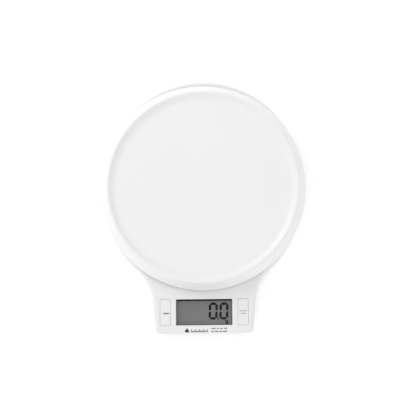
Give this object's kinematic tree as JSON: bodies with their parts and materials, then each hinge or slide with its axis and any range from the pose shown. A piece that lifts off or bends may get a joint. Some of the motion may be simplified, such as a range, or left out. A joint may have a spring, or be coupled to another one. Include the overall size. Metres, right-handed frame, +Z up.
{
  "type": "round pan electronic scale",
  "caption": "Compact electronic scale with a raised-rim round weighing pan on a load cell, a digital display and push keys on a front neck.",
  "frame": {"origin": "on the surface the rubber feet rest on, under the middle of the object's length and width", "axes": "+X to the right of a user facing the display, +Y from the display towards the back, +Z up"},
  "size_m": [0.165, 0.2034, 0.0365],
  "materials": {
    "housing_plastic": "fine satin white",
    "pan_plastic": "smooth satin white",
    "key_plastic": "fine satin white",
    "carrier_plastic": "moulded dark grey",
    "foot_rubber": "matt grey",
    "label_film": "blank silver film",
    "clear_lens": "clear polished",
    "display_panel": "grey liquid crystal panel with its polariser",
    "frame_plastic": "moulded black",
    "contact_rubber": "layered elastomer",
    "switch_plastic": "moulded black",
    "plunger_plastic": "moulded cream",
    "board_laminate": "green solder mask",
    "connector_nylon": "natural nylon",
    "chip_epoxy": "black epoxy",
    "beam_aluminium": "milled",
    "gauge_foil": "etched foil",
    "sealant": "white silicone",
    "plated_steel": "zinc plated",
    "contact_metal": "nickel plated spring steel",
    "capacitor_sleeve": "shrunk sleeve",
    "battery_sleeve": "printed sleeve",
    "red_insulation": "extruded",
    "black_insulation": "extruded",
    "cable_jacket": "extruded"
  },
  "bodies": {
    "housing": {"upper_housing": "housing_plastic", "lower_housing": "housing_plastic", "rubber_feet": "foot_rubber", "blank_rating_label": "label_film", "load_cell": "beam_aluminium", "load_cell_spacer": "beam_aluminium", "overload_stops": "plated_steel", "strain_gauges": "gauge_foil", "gauge_sealant": "sealant", "gauge_wire_anchor": "sealant", "load_cell_screws": "plated_steel", "housing_screws": "plated_steel", "board_screws": "plated_steel", "display_lens": "clear_lens", "display_glass": "display_panel", "display_frame": "frame_plastic", "rear_contact_strip": "contact_rubber", "front_contact_strip": "contact_rubber", "mode_switch": "switch_plastic", "tare_switch": "switch_plastic", "main_circuit_board": "board_laminate", "load_cell_connector": "connector_nylon", "battery_connector": "connector_nylon", "converter_chip": "chip_epoxy", "crystal_can": "plated_steel", "supply_capacitor": "capacitor_sleeve", "processor_resin_cap": "chip_epoxy", "rear_battery": "battery_sleeve", "front_battery": "battery_sleeve", "bridge_contact": "contact_metal", "positive_contact": "contact_metal", "negative_contact": "contact_metal", "bridge_spring": "contact_metal", "negative_spring": "contact_metal", "positive_lead": "red_insulation", "negative_lead": "black_insulation", "load_cell_cable": "cable_jacket"},
    "pan": {"weighing_pan": "pan_plastic", "pan_carrier": "carrier_plastic", "pan_screws": "plated_steel", "carrier_screws": "plated_steel"},
    "mode_key": {"mode_key": "key_plastic", "mode_switch_plunger": "plunger_plastic"},
    "tare_key": {"tare_key": "key_plastic", "tare_switch_plunger": "plunger_plastic"},
    "battery_door": {"battery_door": "housing_plastic"}
  },
  "joints": [
    {"name": "pan_deflection", "type": "slide", "parent": "housing", "child": "pan", "axis": [0, 0, -1], "range_m": [0, 0.0008], "stiffness_N_per_m": 80000, "deforming": ["load_cell"]},
    {"name": "mode_key_press", "type": "slide", "parent": "housing", "child": "mode_key", "axis": [0, 0, -1], "range_m": [0, 0.0004], "stiffness_N_per_m": 3800},
    {"name": "tare_key_press", "type": "slide", "parent": "housing", "child": "tare_key", "axis": [0, 0, -1], "range_m": [0, 0.0004], "stiffness_N_per_m": 3800},
    {"name": "battery_door_hinge", "type": "hinge", "parent": "housing", "child": "battery_door", "pos_m": [0, 0.0755, 0.002], "axis": [1, 0, 0], "range_deg": [0, 95]}
  ]
}
